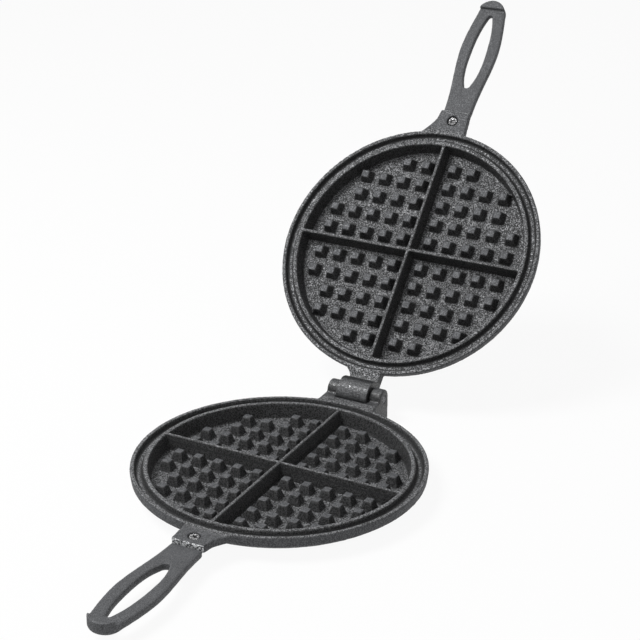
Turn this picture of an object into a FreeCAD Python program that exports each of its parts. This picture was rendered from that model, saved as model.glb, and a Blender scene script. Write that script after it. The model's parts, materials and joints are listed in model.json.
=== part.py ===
"""Cast-iron waffle iron: two round hinged plates with loop handles, standing open.

Millimetres. +Z is up, the origin is the centre of the lower plate's base on the table,
the lower handle points to -Y and the hinge is at +Y. Both halves are modelled closed about
the parting plane, and the upper half is then swung open about the hinge pin.
"""
import FreeCAD
import Part
import math
import os

V = FreeCAD.Vector
os.makedirs("parts", exist_ok=True)

# Plates
PLATE_R = 95.0            # outer radius of the rim
CAVITY_DEPTH = 11.0
CAVITY_DRAFT = 1.4        # how much smaller the cavity is at its floor
FLOOR_T = 5.5             # iron under the cavity floor
BASE_INSET = 23.0         # flat base, in from the rim
RIM_T = 6.4               # height of the rim's outer edge
RIM_DRAFT = 0.8           # how far the rim's edge leans in at its foot
RIM_ROUND = 0.9           # rounding of the rim's and lands' edges
LAND_W = 2.9              # outer land
GROOVE_W = 5.6            # overflow groove between the lands
GROOVE_DEPTH = 3.8
GROOVE_DRAFT = 0.7
INNER_LAND_W = 3.0        # land between groove and cavity
LAND_OVERLAP = 1.0        # how deep tang, tab and ears reach into the plate
BOWL_SAG_R = 10.0         # middle point of the underside's curve, in from the rim's foot
BOWL_SAG_Z = 0.36         # and its height there, as a share of the rim foot's height
FACE_GAP = 0.2            # each face stands this far back from the parting plane

# Grid
STUD_PITCH = 14.5
STUD_START = 10.4         # first stud from the rib's centre line
STUD_TOP = 5.4            # square top
STUD_TAPER = 1.9          # growth per side down to the floor
STUD_H = 6.6
STUD_ROUND = 0.5
STUD_MARGIN = 6.0         # studs whose centre lies nearer to the cavity's edge are left off
STUD_WALL_GAP = 0.6       # clipped studs stop short of the cavity wall
RIB_TOP = 2.2
RIB_TAPER = 1.4
RIB_ROUND = 0.6
RIB_SINK = 1.0            # ribs reach this far into the floor

# Tang and handle
TANG_T = 5.0
TANG_LENGTH = 17.0        # from the rim to the seam between tang and handle
TANG_END_HALF = 11.0
TANG_NECK_HALF = 12.6
TANG_ROOT_HALF = 23.0
TANG_FLARE = 2.6          # bow of the flaring side, half way from neck to rim
TANG_ROUND = 0.8
HANDLE_T = 6.2
HANDLE_STEP = 2.8         # handle's inner face lies below the tang's by this much
HANDLE_ROOT_HALF = 10.5
HANDLE_SWELL = 1.2        # growth per side from the root to the loop
HANDLE_MID_HALF = 14.6
HANDLE_TIP_HALF = 10.6
HANDLE_ROUND = 1.0        # edges of the inner, flat face
HANDLE_BACK_ROUND = 3.4   # edges of the outer face, which fits the hand
LOOP_FROM_SEAM = 21.4     # from the seam to the finger loop
LOOP_LENGTH = 61.6
TIP_LENGTH = 11.5         # from the loop to the handle's tip
LOOP_HALF = 6.1           # half the width of the finger loop
LOOP_NOSE = 2.6           # radius of the loop's end beside the plate
LOOP_POINT = 1.6          # radius of the loop's end beside the tip
LIP_LENGTH = 6.5          # raised lip at the handle's tip
LIP_ROUND = 0.8
TONGUE_CLEAR = 2.5        # rim to the handle's tongue under the tang
TONGUE_INSET = 0.4        # tongue's side, in from the flat of the handle's outer face
SEAT_GAP = 0.1            # tang to tongue
SEAM_GAP = 0.3

# Handle screw, M4
SCREW_R = 2.0
SCREW_FROM_RIM = 9.0
SCREW_CLEAR = 0.2         # play of the screw in tang, tongue and washer
HEAD_R = 3.3
HEAD_H = 2.3
HEAD_DOME = 0.7
HEAD_RECESS = 0.4         # head's top below the tang's face
HEAD_CLEAR = 0.7          # head to the counterbore's wall
CROSS_W = 1.1
CROSS_L = 4.0
CROSS_DEPTH = 1.3
WASHER_R = 3.8
WASHER_T = 1.0
WASHER_SPLIT = 0.8
NUT_FLATS = 7.0
NUT_H = 3.2
NUT_CHAMFER = 0.5
NUT_CLEAR = 0.05
SCREW_STICKS_OUT = 0.7

# Hinge
HINGE_FROM_RIM = 16.5     # rim to the hinge axis
PIN_R = 3.0
PIN_CLEAR_KNUCKLE = 0.08
PIN_CLEAR_EAR = 0.02
PIN_DOME = 0.6
KNUCKLE_R = 10.5
KNUCKLE_HALF = 11.5
EAR_R = 6.8
EAR_W = 8.5
EAR_GAP = 0.4             # knuckle to ear, along the pin
EAR_ROUND = 1.2
TAB_T = 7.0               # upper tab that carries the knuckle
TAB_ROOT_HALF = 19.0      # the flaring side's reach at the rim
TAB_INSET = 1.5           # the flaring side's neck is this much inside the knuckle's end
TAB_FLARE = 1.6
TAB_NECK_GAP = 1.5        # knuckle to the tab's neck
WEB_CLEAR = 0.5           # knuckle to the web under it
STOP_REACH = 3.6          # how far the stop lobe stands out of the knuckle
STOP_SPAN = 26.0          # degrees that the lobe covers
STOP_GAP = 0.7            # degrees left between lobe and web at the stop
STOP_AT = 258.0           # degrees round the pin, from the plate over the top, of the web's stop face
OPEN_ANGLE = 134.0        # opening from closed to the stop

LAND_Z = FLOOR_T + CAVITY_DEPTH
PARTING_Z = LAND_Z + FACE_GAP
RIM_FOOT_Z = LAND_Z - RIM_T
GROOVE_OUT = PLATE_R - LAND_W
GROOVE_IN = GROOVE_OUT - GROOVE_W
CAVITY_R = GROOVE_IN - INNER_LAND_W
BASE_R = PLATE_R - BASE_INSET
STUD_REACH = CAVITY_R - STUD_MARGIN
ROOT_R = GROOVE_OUT + LAND_OVERLAP    # tang, tab and ears grow out of the outer land from here
TANG_END_R = PLATE_R + TANG_LENGTH
SCREW_AT_R = PLATE_R + SCREW_FROM_RIM
TONGUE_START_R = PLATE_R + TONGUE_CLEAR
TONGUE_HALF = HANDLE_ROOT_HALF - HANDLE_BACK_ROUND - TONGUE_INSET
LOOP_START_R = TANG_END_R + LOOP_FROM_SEAM
LOOP_END_R = LOOP_START_R + LOOP_LENGTH
HANDLE_END_R = LOOP_END_R + TIP_LENGTH
HINGE_Y = PLATE_R + HINGE_FROM_RIM
STOP_R = KNUCKLE_R + STOP_REACH
SCREW_HOLE_R = SCREW_R + SCREW_CLEAR
NUT_BORE_R = SCREW_R + NUT_CLEAR
HEAD_SINK = HEAD_H + HEAD_RECESS
COUNTERBORE_R = HEAD_R + HEAD_CLEAR
HANDLE_TOP = LAND_Z - HANDLE_STEP
HANDLE_BOTTOM = HANDLE_TOP - HANDLE_T
TANG_BOTTOM = LAND_Z - TANG_T
TONGUE_TOP = TANG_BOTTOM - SEAT_GAP
HEAD_SEAT_Z = LAND_Z - HEAD_SINK
EAR_IN = KNUCKLE_HALF + EAR_GAP
EAR_OUT = EAR_IN + EAR_W
X_AXIS, Z_AXIS = V(1, 0, 0), V(0, 0, 1)
BIG = 4 * HANDLE_END_R


def line(a, b):
    return Part.LineSegment(V(*a), V(*b)).toShape()


def arc(a, b, c):
    return Part.Arc(V(*a), V(*b), V(*c)).toShape()


def polygon(points):
    return Part.makePolygon([V(*p) for p in points] + [V(*points[0])])


def prism(wire, direction):
    return Part.Face(wire).extrude(V(*direction))


def ring(outer, inner, low, high):
    """Tube about Z; with no inner radius a plain cylinder."""
    solid = Part.makeCylinder(outer, high - low, V(0, 0, low))
    if inner:
        solid = solid.cut(Part.makeCylinder(inner, high - low, V(0, 0, low)))
    return solid


def rounded_profile(corners):
    """Wire in the XZ plane through corners (r, z, rounding); rounding 0 leaves the corner sharp."""
    edges, count = [], len(corners)
    joints = []
    for i, (r, z, size) in enumerate(corners):
        here = V(r, 0, z)
        before = V(corners[i - 1][0], 0, corners[i - 1][1])
        after = V(corners[(i + 1) % count][0], 0, corners[(i + 1) % count][1])
        if not size:
            joints.append((here, here, None))
            continue
        back, ahead = (before - here).normalize(), (after - here).normalize()
        half = back.getAngle(ahead) / 2
        reach = size / math.tan(half)
        middle = (back + ahead).normalize() * (size / math.sin(half) - size)
        joints.append((here + back * reach, here + ahead * reach, here + middle))
    for i, (start, end, middle) in enumerate(joints):
        if middle is not None:
            edges.append(Part.Arc(start, middle, end).toShape())
        following = joints[(i + 1) % count][0]
        edges.append(Part.LineSegment(end, following).toShape())
    return edges


def pan():
    """Revolved plate: curved underside, outer land, groove, inner land and cavity."""
    foot = PLATE_R - RIM_DRAFT
    top = rounded_profile([
        (foot, RIM_FOOT_Z, 0),
        (PLATE_R, LAND_Z, RIM_ROUND),
        (GROOVE_OUT, LAND_Z, RIM_ROUND),
        (GROOVE_OUT - GROOVE_DRAFT, LAND_Z - GROOVE_DEPTH, RIM_ROUND),
        (GROOVE_IN + GROOVE_DRAFT, LAND_Z - GROOVE_DEPTH, RIM_ROUND),
        (GROOVE_IN, LAND_Z, RIM_ROUND),
        (CAVITY_R, LAND_Z, RIM_ROUND),
        (CAVITY_R - CAVITY_DRAFT, FLOOR_T, RIM_ROUND),
        (0, FLOOR_T, 0),
        (0, 0, 0),
        (BASE_R, 0, 0),
    ])
    # the last straight edge, from the base to the rim's foot, gives way to the bowl's curve
    bowl = arc((BASE_R, 0, 0), (foot - BOWL_SAG_R, 0, RIM_FOOT_Z * BOWL_SAG_Z), (foot, 0, RIM_FOOT_Z))
    wire = Part.Wire(Part.__sortEdges__(top[:-1] + [bowl]))
    return Part.Face(wire).revolve(V(0, 0, 0), Z_AXIS, 360)


def stud():
    """One square stud on the cavity floor, at the origin, with rounded edges."""
    top = STUD_TOP / 2
    foot = top + STUD_TAPER
    wires = []
    for half, z in ((foot, FLOOR_T), (top, FLOOR_T + STUD_H)):
        wires.append(polygon([(-half, -half, z), (half, -half, z), (half, half, z), (-half, half, z)]))
    solid = Part.makeLoft(wires, True, True)
    upper_edges = [e for e in solid.Edges if e.BoundBox.ZMax > FLOOR_T + STUD_H / 2]
    return solid.makeFillet(STUD_ROUND, upper_edges)


def studs():
    """Studs in the four quarters; the ones at the cavity wall are clipped by it."""
    one, found = stud(), []
    fits = ring(CAVITY_R - CAVITY_DRAFT - STUD_WALL_GAP, 0, 0, LAND_Z)
    corner = STUD_TOP / 2 + STUD_TAPER
    count = int((STUD_REACH - STUD_START) / STUD_PITCH) + 1
    places = [STUD_START + i * STUD_PITCH for i in range(count)]
    for x in places:
        for y in places:
            if math.hypot(x, y) > STUD_REACH:
                continue
            clipped = math.hypot(x + corner, y + corner) > CAVITY_R - CAVITY_DRAFT - STUD_WALL_GAP
            for sx in (-1, 1):
                for sy in (-1, 1):
                    copy = one.translated(V(sx * x, sy * y, 0))
                    found.append(copy.common(fits) if clipped else copy)
    return found


def ribs():
    """Two crossing ribs that split the cavity into quarters, level with the lands."""
    top, foot = RIB_TOP / 2, RIB_TOP / 2 + RIB_TAPER
    length = CAVITY_R + RIM_ROUND
    edges = rounded_profile([
        (-foot, FLOOR_T - RIB_SINK, 0),
        (-top, LAND_Z, RIB_ROUND),
        (top, LAND_Z, RIB_ROUND),
        (foot, FLOOR_T - RIB_SINK, 0),
    ])
    bar = prism(Part.Wire(Part.__sortEdges__(edges)), (0, 2 * length, 0)).translated(V(0, -length, 0))
    return [bar, bar.rotated(V(0, 0, 0), Z_AXIS, 90)]


def tang():
    """Flat ear of the plate that laps over the handle's tongue: one side flares into the rim, one is straight."""
    root = math.sqrt(ROOT_R ** 2 - TANG_ROOT_HALF ** 2)
    neck = (PLATE_R + TANG_END_R) / 2
    sides = [arc((TANG_ROOT_HALF, -root, TANG_BOTTOM),
                 (TANG_NECK_HALF + TANG_FLARE, -(PLATE_R + neck) / 2, TANG_BOTTOM),
                 (TANG_NECK_HALF, -neck, TANG_BOTTOM)),
             line((TANG_NECK_HALF, -neck, TANG_BOTTOM), (TANG_END_HALF, -TANG_END_R, TANG_BOTTOM)),
             line((-TANG_NECK_HALF, -root, TANG_BOTTOM), (-TANG_END_HALF, -TANG_END_R, TANG_BOTTOM))]
    ends = [line((-TANG_NECK_HALF, -root, TANG_BOTTOM), (TANG_ROOT_HALF, -root, TANG_BOTTOM)),
            line((-TANG_END_HALF, -TANG_END_R, TANG_BOTTOM), (TANG_END_HALF, -TANG_END_R, TANG_BOTTOM))]
    plate = prism(Part.Wire(Part.__sortEdges__(sides + ends)), (0, 0, TANG_T))
    end_edges = [e for e in plate.Edges
                 if abs(e.BoundBox.YMin + TANG_END_R) < 0.01 and e.BoundBox.YMax < -neck + 0.01]
    plate = plate.makeFillet(TANG_ROUND, end_edges)
    plate = plate.cut(ring(ROOT_R, 0, 0, 2 * LAND_Z))
    hole = Part.makeCylinder(SCREW_HOLE_R, LAND_Z, V(0, -SCREW_AT_R, 0))
    recess = Part.makeCylinder(COUNTERBORE_R, HEAD_SINK, V(0, -SCREW_AT_R, HEAD_SEAT_Z))
    return plate.cut(hole).cut(recess)


def at_hinge(degrees, radius):
    """(y, z) of a point round the hinge pin: 0 degrees faces the plates, 90 is straight up."""
    a = math.radians(degrees)
    return HINGE_Y - radius * math.cos(a), PARTING_Z + radius * math.sin(a)


def lower_hinge():
    """Two ears about the pin, and the web between them that carries the stop and stands on the table."""
    back = HINGE_Y + EAR_R
    start = GROOVE_IN - LAND_OVERLAP
    profile = [line((0, start, 0), (0, back, 0)),
               line((0, back, 0), (0, back, PARTING_Z)),
               arc((0, back, PARTING_Z), (0, HINGE_Y, PARTING_Z + EAR_R), (0, HINGE_Y - EAR_R, PARTING_Z)),
               line((0, HINGE_Y - EAR_R, PARTING_Z), (0, HINGE_Y - EAR_R, LAND_Z)),
               line((0, HINGE_Y - EAR_R, LAND_Z), (0, start, LAND_Z)),
               line((0, start, LAND_Z), (0, start, 0))]
    wire = Part.Wire(Part.__sortEdges__(profile))
    ears = []
    for x in (-EAR_OUT, EAR_IN):
        ear = prism(wire, (EAR_W, 0, 0)).translated(V(x, 0, 0))
        outer = x if x < 0 else x + EAR_W
        outer_edges = [e for e in ear.Edges
                       if abs(e.BoundBox.XMin - outer) < 0.01 and abs(e.BoundBox.XMax - outer) < 0.01
                       and e.BoundBox.YMax > HINGE_Y - EAR_R + 0.01 and e.BoundBox.ZMax > 0.01]
        ears.append(ear.makeFillet(EAR_ROUND, outer_edges))
    reach = PARTING_Z / math.sin(math.radians(STOP_AT - 180))
    foot_y = at_hinge(STOP_AT, reach)[0]
    web = prism(polygon([(-EAR_IN, start, 0), (-EAR_IN, foot_y, 0),
                         (-EAR_IN, HINGE_Y, PARTING_Z), (-EAR_IN, HINGE_Y - EAR_R, LAND_Z),
                         (-EAR_IN, start, LAND_Z)]), (2 * EAR_IN, 0, 0))
    web = web.cut(Part.makeCylinder(KNUCKLE_R + WEB_CLEAR, BIG, V(-BIG / 2, HINGE_Y, PARTING_Z), X_AXIS))
    hinge = ears[0].fuse([web, ears[1]])
    hinge = hinge.cut(ring(ROOT_R, 0, RIM_FOOT_Z, 2 * LAND_Z))
    bore = Part.makeCylinder(PIN_R + PIN_CLEAR_EAR, BIG, V(-BIG / 2, HINGE_Y, PARTING_Z), X_AXIS)
    return hinge.cut(bore)


def upper_hinge():
    """Tab, knuckle and stop lobe, modelled on the closed upper half."""
    low, high = PARTING_Z + FACE_GAP, PARTING_Z + FACE_GAP + TAB_T
    root = math.sqrt(ROOT_R ** 2 - TAB_ROOT_HALF ** 2)
    neck = HINGE_Y - KNUCKLE_R - TAB_NECK_GAP
    inset = KNUCKLE_HALF - TAB_INSET
    edges = [line((-TAB_ROOT_HALF, root, low), (KNUCKLE_HALF, root, low)),
             line((-inset, HINGE_Y, low), (KNUCKLE_HALF, HINGE_Y, low)),
             arc((-TAB_ROOT_HALF, root, low), (-inset - TAB_FLARE, (PLATE_R + neck) / 2, low), (-inset, neck, low)),
             line((-inset, neck, low), (-inset, HINGE_Y, low)),
             line((KNUCKLE_HALF, root, low), (KNUCKLE_HALF, HINGE_Y, low))]
    tab = prism(Part.Wire(Part.__sortEdges__(edges)), (0, 0, high - low))
    tab = tab.cut(ring(ROOT_R, 0, 0, 4 * LAND_Z))
    width = 2 * KNUCKLE_HALF
    knuckle = Part.makeCylinder(KNUCKLE_R, width, V(-KNUCKLE_HALF, HINGE_Y, PARTING_Z), X_AXIS)
    end = STOP_AT - STOP_GAP - OPEN_ANGLE
    corners = [(HINGE_Y, PARTING_Z), at_hinge(end - STOP_SPAN, STOP_R), at_hinge(end, STOP_R)]
    lobe = prism(polygon([(-KNUCKLE_HALF, y, z) for y, z in corners]), (width, 0, 0))
    hinge = tab.fuse([knuckle, lobe])
    bore = Part.makeCylinder(PIN_R + PIN_CLEAR_KNUCKLE, BIG, V(-BIG / 2, HINGE_Y, PARTING_Z), X_AXIS)
    return hinge.cut(bore)


def turned_over(shape):
    """The same casting on the closed upper half: turned over about the handles' axis, as one pattern makes both."""
    return shape.rotated(V(0, 0, PARTING_Z), V(0, 1, 0), 180)


def opened(shape):
    """Swings a closed upper-half piece up and back to the stop."""
    return shape.rotated(V(0, HINGE_Y, PARTING_Z), X_AXIS, -OPEN_ANGLE)


def side_curve(points, start, end):
    """Smooth edge through points (r, half width) at the handle's bottom; start and end are tangents."""
    curve = Part.BSplineCurve()
    curve.interpolate(Points=[V(w, -r, HANDLE_BOTTOM) for r, w in points],
                      InitialTangent=V(start[1], -start[0], 0), FinalTangent=V(end[1], -end[0], 0))
    return curve.toShape()


def loop_wire(nodes, first_nose, last_nose):
    """Closed outline, alike on both sides of the handle's axis, with a round nose at each end."""
    edges = []
    for s in (-1, 1):
        points = [(r, s * w) for r, w, _ in nodes]
        edges.append(side_curve(points, (1, s * nodes[0][2]), (1, s * nodes[-1][2])))
    for (r, w, _), nose in ((nodes[0], first_nose), (nodes[-1], last_nose)):
        edges.append(arc((-w, -r, HANDLE_BOTTOM), (0, -nose, HANDLE_BOTTOM), (w, -r, HANDLE_BOTTOM)))
    return Part.Wire(Part.__sortEdges__(edges))


def handle():
    """Cast loop handle with its tongue, finger loop and the lip at its tip."""
    start = TANG_END_R + SEAM_GAP
    middle = (LOOP_START_R + LOOP_END_R) / 2
    tip = HANDLE_END_R - HANDLE_TIP_HALF
    lean = (HANDLE_MID_HALF - HANDLE_TIP_HALF) / (tip - middle)
    sides = []
    for s in (-1, 1):
        sides.append(side_curve([(start, s * HANDLE_ROOT_HALF),
                                 (LOOP_START_R, s * (HANDLE_ROOT_HALF + HANDLE_SWELL)),
                                 (middle, s * HANDLE_MID_HALF),
                                 (tip, s * HANDLE_TIP_HALF)], (1, 0), (1, -s * 1.6 * lean)))
    ends = [line((-HANDLE_ROOT_HALF, -start, HANDLE_BOTTOM), (HANDLE_ROOT_HALF, -start, HANDLE_BOTTOM)),
            arc((-HANDLE_TIP_HALF, -tip, HANDLE_BOTTOM), (0, -HANDLE_END_R, HANDLE_BOTTOM),
                (HANDLE_TIP_HALF, -tip, HANDLE_BOTTOM))]
    outline = Part.Wire(Part.__sortEdges__(sides + ends))
    loop = loop_wire([(LOOP_START_R + LOOP_NOSE, LOOP_NOSE, 0.45),
                      (middle, LOOP_HALF, 0.0),
                      (LOOP_END_R - LOOP_POINT, LOOP_POINT, -0.35)], LOOP_START_R, LOOP_END_R)
    body = prism(outline, (0, 0, HANDLE_T)).cut(prism(loop, (0, 0, HANDLE_T)))
    for z, size in ((HANDLE_BOTTOM, HANDLE_BACK_ROUND), (HANDLE_TOP, HANDLE_ROUND)):
        rims = [e for e in body.Edges
                if abs(e.BoundBox.ZMin - z) < 0.01 and abs(e.BoundBox.ZMax - z) < 0.01
                and e.BoundBox.YMin < -start - 0.01]
        body = body.makeFillet(size, rims)
    lip_from = HANDLE_END_R - LIP_LENGTH
    lip_depth = HANDLE_STEP + HANDLE_T - HANDLE_BACK_ROUND
    lip_box = Part.makeBox(BIG, BIG, lip_depth, V(-BIG / 2, -lip_from - BIG, LAND_Z - lip_depth))
    lip = prism(outline, (0, 0, LAND_Z - HANDLE_BOTTOM)).common(lip_box)
    lip_rims = [e for e in lip.Edges
                if abs(e.BoundBox.ZMin - LAND_Z) < 0.01 and abs(e.BoundBox.ZMax - LAND_Z) < 0.01]
    lip = lip.makeFillet(LIP_ROUND, lip_rims)
    tongue_end = V(-TONGUE_HALF, -start - HANDLE_T, HANDLE_BOTTOM)
    tongue = Part.makeBox(2 * TONGUE_HALF, start + HANDLE_T - TONGUE_START_R, TONGUE_TOP - HANDLE_BOTTOM, tongue_end)
    corners = [e for e in tongue.Edges if e.BoundBox.ZLength > 1 and e.BoundBox.YMax > -TONGUE_START_R - 0.01]
    tongue = tongue.makeFillet(TONGUE_HALF / 2, corners)
    hole = Part.makeCylinder(SCREW_HOLE_R, LAND_Z, V(0, -SCREW_AT_R, 0))
    return body.fuse([lip, tongue]).removeSplitter().cut(hole)


def screw():
    """Cross-recess machine screw, head in the tang's counterbore."""
    bottom = HANDLE_BOTTOM - WASHER_T - NUT_H - SCREW_STICKS_OUT
    centre = V(0, -SCREW_AT_R, 0)
    shank = Part.makeCylinder(SCREW_R, HEAD_SEAT_Z - bottom, centre + V(0, 0, bottom))
    foot = [e for e in shank.Edges if abs(e.BoundBox.ZMax - bottom) < 0.01]
    shank = shank.makeChamfer(SCREW_R / 4, foot)
    head = Part.makeCylinder(HEAD_R, HEAD_H, centre + V(0, 0, HEAD_SEAT_Z))
    crown = [e for e in head.Edges if e.BoundBox.ZMin > HEAD_SEAT_Z + HEAD_H - 0.01]
    head = head.makeFillet(HEAD_DOME, crown)
    solid = shank.fuse(head)
    for turn in (0, 90):
        slot = Part.makeBox(CROSS_L, CROSS_W, CROSS_DEPTH, V(-CROSS_L / 2, -CROSS_W / 2, 0))
        slot = slot.rotated(V(0, 0, 0), Z_AXIS, 45 + turn)
        solid = solid.cut(slot.translated(centre + V(0, 0, HEAD_SEAT_Z + HEAD_H - CROSS_DEPTH)))
    return solid.removeSplitter()


def lock_washer():
    """Split spring washer under the nut."""
    body = ring(WASHER_R, SCREW_HOLE_R, HANDLE_BOTTOM - WASHER_T, HANDLE_BOTTOM)
    split = Part.makeBox(WASHER_SPLIT, 2 * WASHER_R, 2 * WASHER_T,
                         V(-WASHER_SPLIT / 2, 0, HANDLE_BOTTOM - 1.5 * WASHER_T))
    split = split.rotated(V(0, 0, HANDLE_BOTTOM), V(0, 1, 0), 20)
    return body.cut(split).translated(V(0, -SCREW_AT_R, 0))


def nut():
    """Hexagon nut with chamfered corners."""
    top = HANDLE_BOTTOM - WASHER_T
    across = NUT_FLATS / math.sqrt(3)
    points = [(across * math.cos(math.radians(60 * i)), across * math.sin(math.radians(60 * i)), top - NUT_H)
              for i in range(6)]
    body = prism(polygon(points), (0, 0, NUT_H))
    cone_r = NUT_FLATS / 2
    for sign, z in ((1, top - NUT_H), (-1, top)):
        cone = Part.makeCone(cone_r, cone_r + 2 * NUT_H, 1.1 * NUT_H, V(0, 0, z), V(0, 0, sign))
        lift = cone.translated(V(0, 0, -sign * NUT_CHAMFER / 2))
        body = body.common(lift)
    bored = body.cut(Part.makeCylinder(NUT_BORE_R, 2 * NUT_H, V(0, 0, top - 1.5 * NUT_H)))
    return bored.translated(V(0, -SCREW_AT_R, 0))


def hinge_pin():
    """Plain steel pin, ends flush in the ears with a small dome."""
    pin = Part.makeCylinder(PIN_R, 2 * EAR_OUT, V(-EAR_OUT, HINGE_Y, PARTING_Z), X_AXIS)
    ends = [e for e in pin.Edges if abs(abs(e.BoundBox.Center.x) - EAR_OUT) < 0.01]
    return pin.makeFillet(PIN_DOME, ends)


def plate(extras):
    body = pan().fuse(studs() + ribs() + extras)
    return body.removeSplitter()


def export(name, shape):
    solids = shape.Solids
    if not shape.isValid():
        raise ValueError(f"{name} is not a valid shape")
    whole = solids[0] if len(solids) == 1 else Part.makeCompound(solids)
    whole.exportStep(f"parts/{name}.step")
    box = whole.BoundBox
    print(f"{name}: {len(solids)} solid(s), {whole.Volume / 1000:.1f} cm3, "
          f"z {box.ZMin:.2f} to {box.ZMax:.2f}, y {box.YMin:.1f} to {box.YMax:.1f}")


def main():
    fittings = {"handle": handle(), "handle_screw": screw(), "handle_lock_washer": lock_washer(),
                "handle_nut": nut()}
    export("lower_plate", plate([tang(), lower_hinge()]))
    upper = turned_over(plate([tang()])).fuse(upper_hinge()).removeSplitter()
    export("upper_plate", opened(upper))
    for name, shape in fittings.items():
        export(f"lower_{name}", shape)
        export(f"upper_{name}", opened(turned_over(shape)))
    export("hinge_pin", hinge_pin())


main()
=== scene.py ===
"""Cast-iron waffle iron, standing open: sand-cast plates and loop handles, steel screws and hinge pin."""
import json
import math

import bpy
from mathutils import Matrix, Vector


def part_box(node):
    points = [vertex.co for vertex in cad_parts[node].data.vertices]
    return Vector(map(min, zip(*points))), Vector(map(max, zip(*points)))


bl_info = {
    "name": "Cast-iron waffle iron",
    "version": (1, 0, 0),
    "blender": (4, 5, 0),
    "location": "3D View > Sidebar > Waffle Iron",
    "description": "Finishes a hinged cast-iron waffle iron and sets it on a plain studio floor",
    "category": "Object",
}

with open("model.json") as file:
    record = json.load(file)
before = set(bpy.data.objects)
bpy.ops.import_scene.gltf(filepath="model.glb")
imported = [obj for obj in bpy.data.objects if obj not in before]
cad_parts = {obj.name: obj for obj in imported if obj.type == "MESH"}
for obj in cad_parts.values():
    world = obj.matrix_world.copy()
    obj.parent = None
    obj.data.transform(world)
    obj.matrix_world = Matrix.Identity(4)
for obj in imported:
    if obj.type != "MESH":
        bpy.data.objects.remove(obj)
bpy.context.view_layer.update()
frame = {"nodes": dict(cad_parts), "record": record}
PLATES = ("lower_plate", "upper_plate")
HANDLES = ("lower_handle", "upper_handle")
FASTENERS = tuple(f"{half}_handle_{piece}" for half in ("lower", "upper")
                  for piece in ("screw", "lock_washer", "nut"))

# Places on a plate, in metres
PLATE_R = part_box("lower_plate")[1][0]      # centre to the rim's outer side
TANG_END = -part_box("lower_plate")[0][1]    # centre to the tang's end
STUD_TOP = 0.0121                          # lower plate's base to its studs' tops
CAVITY_R = 0.0815                          # inside the cavity's wall
GROOVE_FEET = (0.0914, 0.0872)             # radii of the feet of the overflow groove's walls

# Edges of the zones with a finish of their own, in metres
TANG_ZONE = (-0.018, -0.014)               # rough rim to smooth tang, from the tang's end
CUT_ZONE = (-0.0010, -0.0005)              # into the bare cut end, from the tang's end
HINGE_ZONE = (-0.2105, -0.2120)            # into the rubbed hinge, from the tang's end
SIDE_ZONE = (-0.0027, -0.0022)             # into the rim's smoother outer side, from that side
STUD_TOP_BAND = 0.0006                     # above and below the studs' tops
GROOVE_SHADE_ZONE = (0.0007, 0.0017)              # out of the painted shade along the groove's walls
GROOVE_BANDS = (0.0003, 0.003)             # past the groove's feet, and above and below the studs' tops

# Lamps and where they point, in metres
KEY_LAMP = {"place": Vector((-0.65, -0.45, 1.35)), "size": 0.6}
FILL_LAMP = {"place": Vector((1.2, -1.4, 0.9)), "size": 1.4}
LAMP_AIM = Vector((0, 0.08, 0.06))


# Settings that a user would change

class CastingSettings(bpy.types.PropertyGroup):
    """Sizes of the sand-cast skin"""
    plate_cell: bpy.props.FloatProperty(
        name="Plate skin cell", description="Mesh size of the plates' cast skin",
        default=0.0006, min=0.0004, unit="LENGTH", precision=5)
    handle_cell: bpy.props.FloatProperty(
        name="Handle skin cell", description="Mesh size of the handles' cast skin",
        default=0.0006, min=0.0004, unit="LENGTH", precision=5)
    rounding: bpy.props.IntProperty(
        name="Edge rounding", description="Smoothing passes that soften the cast edges",
        default=2, min=0, max=20)
    ripple_size: bpy.props.FloatProperty(
        name="Ripple size", description="Width of the skin's unevenness",
        default=0.004, min=0.001, unit="LENGTH", precision=4)
    ripple_height: bpy.props.FloatProperty(
        name="Ripple height", description="Height of the skin's unevenness",
        default=0.00016, min=0.0, unit="LENGTH", precision=5)
    sand_size: bpy.props.FloatProperty(
        name="Sand size", description="Width of the grains that the casting sand leaves on the plates",
        default=0.0013, min=0.0005, unit="LENGTH", precision=5)
    sand_height: bpy.props.FloatProperty(
        name="Sand height", description="Height of those grains",
        default=0.00022, min=0.0, unit="LENGTH", precision=5)


class FinishSettings(bpy.types.PropertyGroup):
    """Colours of the finishes"""
    iron_dark: bpy.props.FloatVectorProperty(
        name="Iron, pits", description="Seasoned iron between the sand grains",
        subtype="COLOR", size=3, min=0, max=1, default=(0.013, 0.0135, 0.014))
    iron_light: bpy.props.FloatVectorProperty(
        name="Iron, grains", description="Seasoned iron on the sand grains",
        subtype="COLOR", size=3, min=0, max=1, default=(0.200, 0.203, 0.210))
    iron_worn: bpy.props.FloatVectorProperty(
        name="Iron, worn edges", description="Bare iron along rubbed edges",
        subtype="COLOR", size=3, min=0, max=1, default=(0.34, 0.345, 0.355))
    handle_dark: bpy.props.FloatVectorProperty(
        name="Handle iron, pits", description="Smoother iron of the handles, between the grains",
        subtype="COLOR", size=3, min=0, max=1, default=(0.038, 0.0395, 0.0425))
    handle_light: bpy.props.FloatVectorProperty(
        name="Handle iron, grains", description="Smoother iron of the handles, on the grains",
        subtype="COLOR", size=3, min=0, max=1, default=(0.088, 0.0904, 0.0957))
    cut_end: bpy.props.FloatVectorProperty(
        name="Cut tang end", description="Bare rough iron where the tang's end was cut",
        subtype="COLOR", size=3, min=0, max=1, default=(0.62, 0.63, 0.64))
    steel: bpy.props.FloatVectorProperty(
        name="Screw steel", description="Dull plated steel of screws, washers and nuts",
        subtype="COLOR", size=3, min=0, max=1, default=(0.40, 0.40, 0.405))
    pin_steel: bpy.props.FloatVectorProperty(
        name="Pin steel", description="Turned steel of the hinge pin",
        subtype="COLOR", size=3, min=0, max=1, default=(0.26, 0.26, 0.27))


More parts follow.
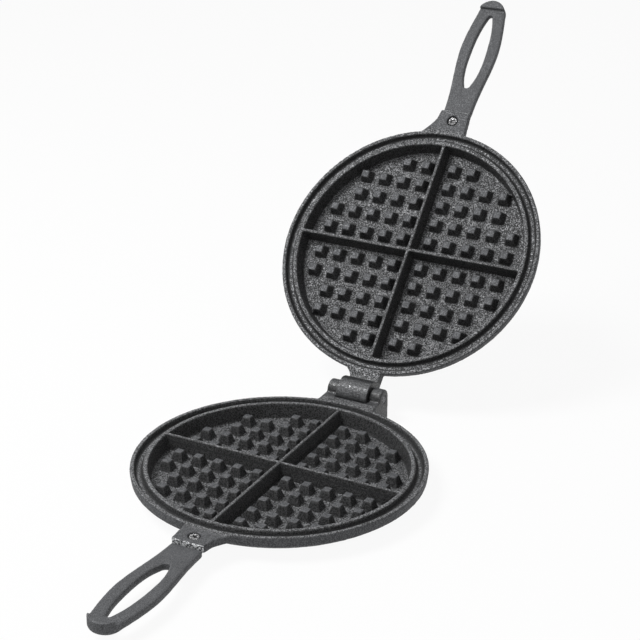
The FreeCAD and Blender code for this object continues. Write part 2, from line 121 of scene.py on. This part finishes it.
class StageSettings(bpy.types.PropertyGroup):
    """Floor, light and camera"""
    floor: bpy.props.FloatVectorProperty(
        name="Floor", description="Pale studio floor",
        subtype="COLOR", size=3, min=0, max=1, default=(0.70, 0.70, 0.70))
    floor_white: bpy.props.FloatProperty(
        name="Floor white", description="Share of plain white in the floor that the camera sees",
        subtype="FACTOR", min=0, max=1, default=0.93)
    sky: bpy.props.FloatProperty(
        name="Sky", description="Strength of the even light from all round", min=0, default=0.24)
    key_power: bpy.props.FloatProperty(
        name="Key lamp", description="Power of the lamp at the upper left", unit="POWER", min=0, default=27.0)
    fill_power: bpy.props.FloatProperty(
        name="Fill lamp", description="Power of the lamp at the right", unit="POWER", min=0, default=6.0)
    place: bpy.props.FloatVectorProperty(
        name="Camera place", description="Camera position", subtype="TRANSLATION", size=3,
        default=(0.46244, -0.84090, 0.53156))
    azimuth: bpy.props.FloatProperty(
        name="Azimuth", description="Turn about the vertical", subtype="ANGLE", default=math.radians(27.31))
    elevation: bpy.props.FloatProperty(
        name="Elevation", description="Angle above the horizon", subtype="ANGLE", default=math.radians(23.49))
    roll: bpy.props.FloatProperty(
        name="Roll", description="Tilt about the view axis", subtype="ANGLE", default=math.radians(0.38))
    lens: bpy.props.FloatProperty(
        name="Lens", description="Focal length", unit="CAMERA", default=96.08)


def casting():
    return bpy.context.scene.waffle_casting


def finish():
    return bpy.context.scene.waffle_finish


def stage():
    return bpy.context.scene.waffle_stage


def lie_of(node):
    """How a plate lies at rest: its face axis, the way to its handle, and where tang and studs end."""
    axis, along = Vector((0, 0, 1)), Vector((0, -1, 0))
    if node == "lower_plate":
        return {"Face Axis": axis, "Along": along, "Reach": TANG_END, "Stud Top": STUD_TOP}
    lid = frame["record"]["behaviour"]["joints"][0]
    turn = Matrix.Rotation(-math.radians(lid["range_deg"][1]), 3, Vector(lid["axis"]))
    axis, along = turn @ axis, turn @ along
    hinge = Vector(lid["pos_m"])
    return {"Face Axis": axis, "Along": along, "Reach": hinge @ along + hinge.y + TANG_END,
            "Stud Top": hinge @ axis + hinge.z - STUD_TOP}


# Shader node helpers

def add(tree, kind, inputs=None, **attributes):
    """New node with the given attributes, and plain values on its inputs."""
    node = tree.nodes.new(kind)
    for name, value in attributes.items():
        setattr(node, name, value)
    for name, value in (inputs or {}).items():
        node.inputs[name].default_value = value
    return node


def link(tree, source, target):
    tree.links.new(source, target)


def feed(tree, socket, value):
    """Joins an input to another node's output, or sets it to a plain value."""
    if isinstance(value, bpy.types.NodeSocket):
        link(tree, value, socket)
    else:
        socket.default_value = value


def math_node(tree, operation, first, second=0.0):
    node = add(tree, "ShaderNodeMath", operation=operation)
    feed(tree, node.inputs[0], first)
    feed(tree, node.inputs[1], second)
    return node.outputs[0]


def times(tree, first, second):
    return math_node(tree, "MULTIPLY", first, second)


def minus(tree, first, second):
    return math_node(tree, "SUBTRACT", first, second)


def greater(tree, first, second):
    return math_node(tree, "MAXIMUM", first, second)


def near(tree, value, target, width):
    """1 where a value lies within the width of its target."""
    result = math_node(tree, "COMPARE", value, target)
    result.node.inputs[2].default_value = width
    return result


def ranged(tree, value, low, high, to_low=0.0, to_high=1.0):
    """Value from low to high, stretched to another span and held at its ends."""
    node = add(tree, "ShaderNodeMapRange",
               {"From Min": low, "From Max": high, "To Min": to_low, "To Max": to_high})
    link(tree, value, node.inputs["Value"])
    return node.outputs["Result"]


def dot(tree, first, second):
    node = add(tree, "ShaderNodeVectorMath", operation="DOT_PRODUCT")
    link(tree, first, node.inputs[0])
    link(tree, second, node.inputs[1])
    return node.outputs["Value"]


def mixed(tree, factor, first, second, blend="MIX"):
    node = add(tree, "ShaderNodeMix", data_type="RGBA", blend_type=blend)
    for place, value in ((0, factor), (6, first), (7, second)):
        feed(tree, node.inputs[place], value)
    return node.outputs[2]


def shaded(tree, tint, level):
    """Colour times a level that changes over the surface."""
    grey = add(tree, "ShaderNodeCombineColor")
    for socket in grey.inputs:
        link(tree, level, socket)
    return mixed(tree, 1.0, tint, grey.outputs[0], "MULTIPLY")


def noise(tree, coordinates, scale, detail, roughness):
    node = add(tree, "ShaderNodeTexNoise", {"Detail": detail, "Roughness": roughness})
    link(tree, coordinates, node.inputs["Vector"])
    feed(tree, node.inputs["Scale"], scale)
    return node.outputs["Fac"]


def new_group(name, inputs, outputs):
    group = bpy.data.node_groups.new(name, "ShaderNodeTree")
    for label, kind, default in inputs:
        socket = group.interface.new_socket(label, in_out="INPUT", socket_type=kind)
        socket.default_value = default
    for label, kind in outputs:
        group.interface.new_socket(label, in_out="OUTPUT", socket_type=kind)
    return group, group.nodes.new("NodeGroupInput").outputs, group.nodes.new("NodeGroupOutput").inputs


def colour(rgb):
    return (*rgb, 1.0)


# Shared surface effects

def sand_grain_group():
    """Grain left by the casting sand: fine grains over coarser clumps, with scattered pits."""
    group, given, made = new_group(
        "Sand Grain",
        [("Grain Scale", "NodeSocketFloat", 1100.0), ("Softness", "NodeSocketFloat", 0.095),
         ("Pit Amount", "NodeSocketFloat", 0.5)],
        [("Grain", "NodeSocketFloat"), ("Height", "NodeSocketFloat")])
    where = add(group, "ShaderNodeTexCoord").outputs["Object"]
    clump_share, middle = 0.14, 0.515
    fine = noise(group, where, given["Grain Scale"], detail=2.0, roughness=0.55)
    clump = noise(group, where, times(group, given["Grain Scale"], 0.3), detail=2.0, roughness=0.5)
    blend = math_node(group, "ADD", times(group, fine, 1.0 - clump_share), times(group, clump, clump_share))
    contrast = math_node(group, "DIVIDE", 0.5, given["Softness"])
    swing = times(group, minus(group, blend, middle), contrast)
    grain = ranged(group, swing, -0.5, 0.5)
    pits = add(group, "ShaderNodeTexVoronoi")
    link(group, where, pits.inputs["Vector"])
    link(group, times(group, given["Grain Scale"], 0.22), pits.inputs["Scale"])
    pit = ranged(group, pits.outputs["Distance"], 0.05, 0.28)
    depth = times(group, minus(group, 1.0, pit), given["Pit Amount"])
    link(group, grain, made["Grain"])
    link(group, minus(group, grain, depth), made["Height"])
    return group


def casting_wear_and_shade_group():
    """Colour of a seasoned casting: grain, slow mottling, rubbed edges, and painted shade that darkens its
    concave corners.
    """
    group, given, made = new_group(
        "Casting Wear And Shade",
        [("Pits", "NodeSocketColor", (0.03, 0.03, 0.03, 1)),
         ("Grains", "NodeSocketColor", (0.15, 0.15, 0.15, 1)),
         ("Worn", "NodeSocketColor", (0.3, 0.3, 0.3, 1)),
         ("Grain", "NodeSocketFloat", 0.5),
         ("Edge Wear", "NodeSocketFloat", 0.5),
         ("Level", "NodeSocketFloat", 1.0)],
        [("Color", "NodeSocketColor")])
    where = add(group, "ShaderNodeTexCoord").outputs["Object"]
    skin = mixed(group, given["Grain"], given["Pits"], given["Grains"])
    cloud = noise(group, where, 55.0, detail=4.0, roughness=0.6)
    mottle = ranged(group, cloud, 0.3, 0.7, 0.80, 1.12)
    bend = add(group, "ShaderNodeNewGeometry").outputs["Pointiness"]
    ridge = ranged(group, bend, 0.515, 0.60)
    patches = noise(group, where, 420.0, detail=3.0, roughness=0.7)
    patchy = ranged(group, patches, 0.35, 0.6)
    wear = times(group, times(group, ridge, patchy), given["Edge Wear"])
    # painted shade: concave corners and creases darkened down to 0.30
    painted_corner_shade = ranged(group, bend, 0.40, 0.49, 0.30, 1.0)
    level = times(group, times(group, mottle, painted_corner_shade), given["Level"])
    link(group, mixed(group, wear, shaded(group, skin, level), given["Worn"]), made["Color"])
    return group


def painted_wall_shade_group():
    """Painted shade: 1 on faces that lie along the plate, and the given lower level on the walls of its
    relief, as if they lay in shade.
    """
    group, given, made = new_group(
        "Painted Wall Shade",
        [("Face Axis", "NodeSocketVector", (0, 0, 1)), ("Shade On Walls", "NodeSocketFloat", 0.4)],
        [("Level", "NodeSocketFloat")])
    normal = add(group, "ShaderNodeTexCoord").outputs["Normal"]
    flat = math_node(group, "ABSOLUTE", dot(group, normal, given["Face Axis"]))
    level = add(group, "ShaderNodeMapRange", {"From Min": 0.66, "From Max": 0.90},
                interpolation_type="SMOOTHSTEP")
    link(group, flat, level.inputs["Value"])
    link(group, given["Shade On Walls"], level.inputs["To Min"])
    link(group, level.outputs["Result"], made["Level"])
    return group


def plate_zones_group():
    """Masks of a plate's zones: smooth iron, stud tops, rim, its side, cut end, hinge, and painted shade
    along the groove's walls.
    """
    group, given, made = new_group(
        "Plate Zones",
        [("Along", "NodeSocketVector", (0, -1, 0)), ("Reach", "NodeSocketFloat", 0.1),
         ("Face Axis", "NodeSocketVector", (0, 0, 1)), ("Stud Top", "NodeSocketFloat", 0.01)],
        [(name, "NodeSocketFloat") for name in ("Smooth", "Tops", "Rim", "Side", "Cut", "Hinge", "Painted Groove Shade")])
    place = add(group, "ShaderNodeTexCoord")
    where, normal = place.outputs["Object"], place.outputs["Normal"]

    # Along the plate, from the tang's end back to the hinge
    past_end = minus(group, dot(group, where, given["Along"]), given["Reach"])
    tang = ranged(group, past_end, *TANG_ZONE)
    hinge = ranged(group, past_end, *HINGE_ZONE)
    end_face = ranged(group, dot(group, normal, given["Along"]), 0.35, 0.7)
    link(group, hinge, made["Hinge"])
    link(group, times(group, ranged(group, past_end, *CUT_ZONE), end_face), made["Cut"])

    # Out from the plate's centre, and up from its base
    across = add(group, "ShaderNodeSeparateXYZ")
    link(group, where, across.inputs[0])
    lengthwise = math_node(group, "POWER", math_node(group, "ADD", past_end, TANG_END), 2.0)
    crosswise = math_node(group, "POWER", across.outputs["X"], 2.0)
    radius = math_node(group, "SQRT", math_node(group, "ADD", lengthwise, crosswise))
    height = dot(group, where, given["Face Axis"])

    in_cavity = math_node(group, "LESS_THAN", radius, CAVITY_R)
    stud_top = times(group, near(group, height, given["Stud Top"], STUD_TOP_BAND), in_cavity)
    link(group, minus(group, 1.0, in_cavity), made["Rim"])
    link(group, stud_top, made["Tops"])

    outside = ranged(group, radius, PLATE_R + SIDE_ZONE[0], PLATE_R + SIDE_ZONE[1])
    flat = math_node(group, "ABSOLUTE", dot(group, normal, given["Face Axis"]))
    upright = ranged(group, flat, 0.85, 0.60)
    side = times(group, times(group, outside, upright), minus(group, 1.0, hinge))
    link(group, side, made["Side"])
    link(group, greater(group, greater(group, tang, stud_top), side), made["Smooth"])

    # painted shade: a dark band along the feet of the groove's walls, where the lands shade its floor
    out_of_shade = 1.0
    for foot, inward in zip(GROOVE_FEET, (-1.0, 1.0)):
        off_wall = times(group, minus(group, radius, foot), inward)
        out_of_shade = times(group, out_of_shade, ranged(group, off_wall, *GROOVE_SHADE_ZONE))
    middle = sum(GROOVE_FEET) / 2
    half_width = (GROOVE_FEET[0] - GROOVE_FEET[1]) / 2
    in_groove = times(group, near(group, radius, middle, half_width + GROOVE_BANDS[0]),
                      near(group, height, given["Stud Top"], GROOVE_BANDS[1]))
    link(group, times(group, in_groove, minus(group, 1.0, out_of_shade)), made["Painted Groove Shade"])
    return group


SURFACE_EFFECTS = {"Sand Grain": sand_grain_group, "Casting Wear And Shade": casting_wear_and_shade_group,
                   "Painted Wall Shade": painted_wall_shade_group, "Plate Zones": plate_zones_group}


def placed(tree, name, inputs):
    """One of the shared effects in a material, with its own values; the effect itself is made once."""
    group = bpy.data.node_groups.get(name) or SURFACE_EFFECTS[name]()
    return add(tree, "ShaderNodeGroup", inputs, node_tree=group)


# Finishes

def new_material(name):
    material = bpy.data.materials.new(name)
    material.use_nodes = True
    tree = material.node_tree
    shader = next(n for n in tree.nodes if n.type == "BSDF_PRINCIPLED")
    return material, tree, shader


def grain_gloss(tree, grain, smoothest, spread):
    """Roughness that is least on the grains and greater between them."""
    return ranged(tree, grain.outputs["Grain"], 0.0, 1.0, smoothest + spread, smoothest)


def sand_relief(tree, shader, height, strength):
    relief = add(tree, "ShaderNodeBump", {"Strength": strength, "Distance": 0.0005})
    link(tree, height, relief.inputs["Height"])
    link(tree, relief.outputs["Normal"], shader.inputs["Normal"])


def cast_iron(name, dark, light, edge_wear, grain_values):
    """New material of sand-cast iron, with its grain, its wear and its painted corner shade placed."""
    material, tree, shader = new_material(name)
    shader.inputs["Metallic"].default_value = 0.25
    grain = placed(tree, "Sand Grain", grain_values)
    wear = placed(tree, "Casting Wear And Shade", {"Pits": colour(dark), "Grains": colour(light),
                                         "Worn": colour(finish().iron_worn), "Edge Wear": edge_wear})
    link(tree, grain.outputs["Grain"], wear.inputs["Grain"])
    return material, tree, shader, grain, wear


def handle_iron():
    """Smoother, finer iron of the loop handles."""
    tones = finish()
    material, tree, shader, grain, wear = cast_iron(
        "Smooth handle iron", tones.handle_dark, tones.handle_light,
        edge_wear=0.4, grain_values={"Grain Scale": 1700.0})
    link(tree, wear.outputs["Color"], shader.inputs["Base Color"])
    link(tree, grain_gloss(tree, grain, smoothest=0.48, spread=0.22), shader.inputs["Roughness"])
    sand_relief(tree, shader, grain.outputs["Height"], strength=0.35)
    return material


def plate_iron(node):
    """Seasoned iron of one plate: rough, with painted shade on its walls, smoother on stud tops, tang, side
    and hinge.
    """
    tones = finish()
    material, tree, shader, grain, wear = cast_iron(
        f"Seasoned iron, {node}", tones.iron_dark, tones.iron_light,
        edge_wear=0.35, grain_values={"Grain Scale": 1200.0, "Softness": 0.07})
    lie = lie_of(node)
    # painted shade: the walls of the plate's relief are darkened to 0.20
    walls = placed(tree, "Painted Wall Shade", {"Face Axis": lie["Face Axis"], "Shade On Walls": 0.20}).outputs["Level"]
    zones = placed(tree, "Plate Zones", lie).outputs
    seasoned = colour(tones.iron_dark)

    rim_light = ranged(tree, zones["Rim"], 0.0, 1.0, 1.0, 1.2)
    # the painted wall shade sets the rough skin's level, made 1.2 times lighter on the rim
    link(tree, times(tree, walls, rim_light), wear.inputs["Level"])

    smooth = mixed(tree, grain.outputs["Grain"], colour(tones.handle_dark), colour(tones.handle_light))
    top_light = ranged(tree, zones["Tops"], 0.0, 1.0, 0.95, 1.12)
    side_light = times(tree, zones["Side"], 0.85)
    # painted wall shade on the smooth zones too; the rim's outer side is held at 0.85
    smooth = shaded(tree, smooth, greater(tree, times(tree, walls, top_light), side_light))

    skin = mixed(tree, zones["Smooth"], wear.outputs["Color"], smooth)
    hinge_skin = mixed(tree, 0.55, smooth, seasoned)
    skin = mixed(tree, times(tree, zones["Hinge"], 0.7), skin, hinge_skin)
    # painted shade along the groove's walls, in the dark seasoned colour
    skin = mixed(tree, zones["Painted Groove Shade"], skin, seasoned)
    torn = ranged(tree, grain.outputs["Height"], 0.0, 0.7)
    skin = mixed(tree, times(tree, zones["Cut"], torn), skin, colour(tones.cut_end))
    link(tree, skin, shader.inputs["Base Color"])

    polish = times(tree, zones["Hinge"], 0.27)
    gloss = grain_gloss(tree, grain, smoothest=0.50, spread=0.22)
    link(tree, minus(tree, gloss, polish), shader.inputs["Roughness"])
    calm = ranged(tree, greater(tree, zones["Smooth"], zones["Hinge"]), 0.0, 1.0, 1.0, 0.35)
    sand_relief(tree, shader, times(tree, grain.outputs["Height"], calm), strength=0.7)
    return material


def dull_steel(name, rgb, grain_scale, smoothest, relief):
    """Plated or turned steel with fine marks and dull patches."""
    material, tree, shader = new_material(name)
    shader.inputs["Metallic"].default_value = 0.9
    grain = placed(tree, "Sand Grain", {"Grain Scale": grain_scale, "Pit Amount": 0.2})
    dim = colour([0.12 * channel for channel in rgb])
    link(tree, mixed(tree, grain.outputs["Grain"], dim, colour(rgb)), shader.inputs["Base Color"])
    link(tree, grain_gloss(tree, grain, smoothest, spread=0.2), shader.inputs["Roughness"])
    sand_relief(tree, shader, grain.outputs["Height"], relief)
    return material


def paint(node, material):
    piece = frame["nodes"][node]
    piece.data.materials.clear()
    piece.data.materials.append(material)


# Cast skin

def unevenness(piece, label, size, height):
    """Lifts and sinks a cast skin by a soft random pattern of the given width and height."""
    pattern = bpy.data.textures.get(label) or bpy.data.textures.new(label, "CLOUDS")
    pattern.noise_scale = size
    pattern.noise_depth = 1
    ripple = piece.modifiers.new(label, "DISPLACE")
    ripple.texture = pattern
    ripple.texture_coords = "LOCAL"
    ripple.strength = height
    ripple.mid_level = 0.5


def cast_skin(node, cell):
    """Gives a solid the soft edges and uneven skin of a sand casting, with modifiers only."""
    sizes = casting()
    piece = frame["nodes"][node]
    skin = piece.modifiers.new("Cast skin", "REMESH")
    skin.mode = "VOXEL"
    skin.voxel_size = cell
    skin.use_smooth_shade = True
    soften = piece.modifiers.new("Soft edges", "SMOOTH")
    soften.factor = 0.5
    soften.iterations = sizes.rounding
    unevenness(piece, "Skin ripple", sizes.ripple_size, sizes.ripple_height)
    return piece


# Operators, one for each group of like pieces

class WAFFLE_OT_cast_plates(bpy.types.Operator):
    """Give the two plates their cast skin and seasoned iron finish"""
    bl_idname = "waffle.cast_plates"
    bl_label = "Cast Plates"

    def execute(self, context):
        sizes = casting()
        for node in PLATES:
            piece = cast_skin(node, sizes.plate_cell)
            unevenness(piece, "Sand grains", sizes.sand_size, sizes.sand_height)
            paint(node, plate_iron(node))
        return {"FINISHED"}


class WAFFLE_OT_cast_handles(bpy.types.Operator):
    """Give the two loop handles their smoother cast skin and iron finish"""
    bl_idname = "waffle.cast_handles"
    bl_label = "Cast Handles"

    def execute(self, context):
        iron = handle_iron()
        for node in HANDLES:
            cast_skin(node, casting().handle_cell)
            paint(node, iron)
        return {"FINISHED"}


class WAFFLE_OT_fit_fasteners(bpy.types.Operator):
    """Finish the handle screws, lock washers and nuts"""
    bl_idname = "waffle.fit_fasteners"
    bl_label = "Fit Fasteners"

    def execute(self, context):
        steel = dull_steel("Dull plated steel", finish().steel,
                           grain_scale=900.0, smoothest=0.24, relief=0.7)
        for node in FASTENERS:
            paint(node, steel)
        return {"FINISHED"}


class WAFFLE_OT_fit_hinge_pin(bpy.types.Operator):
    """Finish the hinge pin"""
    bl_idname = "waffle.fit_hinge_pin"
    bl_label = "Fit Hinge Pin"

    def execute(self, context):
        steel = dull_steel("Turned pin steel", finish().pin_steel,
                           grain_scale=1800.0, smoothest=0.4, relief=0.2)
        paint("hinge_pin", steel)
        return {"FINISHED"}


class WAFFLE_OT_set_stage(bpy.types.Operator):
    """Set the floor, the studio light and the camera"""
    bl_idname = "waffle.set_stage"
    bl_label = "Set Stage"

    def execute(self, context):
        scene = context.scene
        scene.view_settings.view_transform = "Standard"
        lay_floor(scene)
        light_sky(scene)
        hang_lamp(scene, "key", power=stage().key_power, **KEY_LAMP)
        hang_lamp(scene, "fill", power=stage().fill_power, **FILL_LAMP)
        set_camera(scene)
        return {"FINISHED"}


# Stage

def white_to_camera(tree):
    """1 where the camera, a mirror or glass looks straight at the surface."""
    path = add(tree, "ShaderNodeLightPath")
    seen = greater(tree, path.outputs["Is Camera Ray"], path.outputs["Is Glossy Ray"])
    return greater(tree, seen, path.outputs["Is Transmission Ray"])


def lay_floor(scene):
    half = 6.0
    below = -0.0002
    corners = [(-half, -half, 0), (half, -half, 0), (half, half, 0), (-half, half, 0)]
    mesh = bpy.data.meshes.new("floor")
    mesh.from_pydata(corners, [], [(0, 1, 2, 3)])
    floor = bpy.data.objects.new("floor", mesh)
    floor.location.z = below
    scene.collection.objects.link(floor)
    material, tree, shader = new_material("Pale floor")
    shader.inputs["Base Color"].default_value = colour(stage().floor)
    shader.inputs["Roughness"].default_value = 0.9
    glow = add(tree, "ShaderNodeEmission")
    blend = add(tree, "ShaderNodeMixShader")
    link(tree, times(tree, white_to_camera(tree), stage().floor_white), blend.inputs[0])
    link(tree, shader.outputs[0], blend.inputs[1])
    link(tree, glow.outputs[0], blend.inputs[2])
    output = next(n for n in tree.nodes if n.type == "OUTPUT_MATERIAL")
    link(tree, blend.outputs[0], output.inputs["Surface"])
    mesh.materials.append(material)


def light_sky(scene):
    world = bpy.data.worlds.new("Studio")
    world.use_nodes = True
    tree = world.node_tree
    sky = next(n for n in tree.nodes if n.type == "BACKGROUND")
    sky.inputs["Color"].default_value = (1, 1, 1, 1)
    link(tree, ranged(tree, white_to_camera(tree), 0.0, 1.0, stage().sky, 1.0), sky.inputs["Strength"])
    scene.world = world


def hang_lamp(scene, name, place, size, power):
    """Square lamp that points at the hinge side of the lower plate."""
    lamp = bpy.data.lights.new(name, "AREA")
    lamp.size = size
    lamp.energy = power
    holder = bpy.data.objects.new(name, lamp)
    holder.location = place
    holder.rotation_euler = (LAMP_AIM - place).to_track_quat("-Z", "Y").to_euler()
    scene.collection.objects.link(holder)


def set_camera(scene):
    view = stage()
    turn, rise = view.azimuth, view.elevation
    back = Vector((math.sin(turn) * math.cos(rise), -math.cos(turn) * math.cos(rise), math.sin(rise)))
    right = Vector((math.cos(turn), math.sin(turn), 0))
    up = back.cross(right)
    axes = Matrix((right, up, back)).transposed() @ Matrix.Rotation(view.roll, 3, "Z")
    lens = bpy.data.cameras.new("camera")
    lens.lens = view.lens
    lens.sensor_width = 36.0
    lens.clip_start = 0.01
    camera = bpy.data.objects.new("camera", lens)
    camera.matrix_world = Matrix.Translation(view.place) @ axes.to_4x4()
    scene.collection.objects.link(camera)
    scene.camera = camera


OPERATORS = (WAFFLE_OT_cast_plates, WAFFLE_OT_cast_handles, WAFFLE_OT_fit_fasteners,
             WAFFLE_OT_fit_hinge_pin, WAFFLE_OT_set_stage)
SETTINGS = {"waffle_casting": CastingSettings, "waffle_finish": FinishSettings, "waffle_stage": StageSettings}


class VIEW3D_PT_waffle_iron(bpy.types.Panel):
    """Settings and steps of the waffle iron"""
    bl_label = "Waffle Iron"
    bl_space_type = "VIEW_3D"
    bl_region_type = "UI"
    bl_category = "Waffle Iron"

    def draw(self, context):
        layout = self.layout
        for name in SETTINGS:
            settings = getattr(context.scene, name)
            box = layout.box()
            for prop in settings.__annotations__:
                box.prop(settings, prop)
        for operator in OPERATORS:
            layout.operator(operator.bl_idname)


CLASSES = (*SETTINGS.values(), *OPERATORS, VIEW3D_PT_waffle_iron)


def register():
    for item in CLASSES:
        bpy.utils.register_class(item)
    for name, group in SETTINGS.items():
        setattr(bpy.types.Scene, name, bpy.props.PointerProperty(type=group))


def unregister():
    for name in SETTINGS:
        delattr(bpy.types.Scene, name)
    for item in reversed(CLASSES):
        bpy.utils.unregister_class(item)


def main():
    register()
    bpy.ops.waffle.cast_plates()
    bpy.ops.waffle.cast_handles()
    bpy.ops.waffle.fit_fasteners()
    bpy.ops.waffle.fit_hinge_pin()
    bpy.ops.waffle.set_stage()


if __name__ == "__main__":
    main()
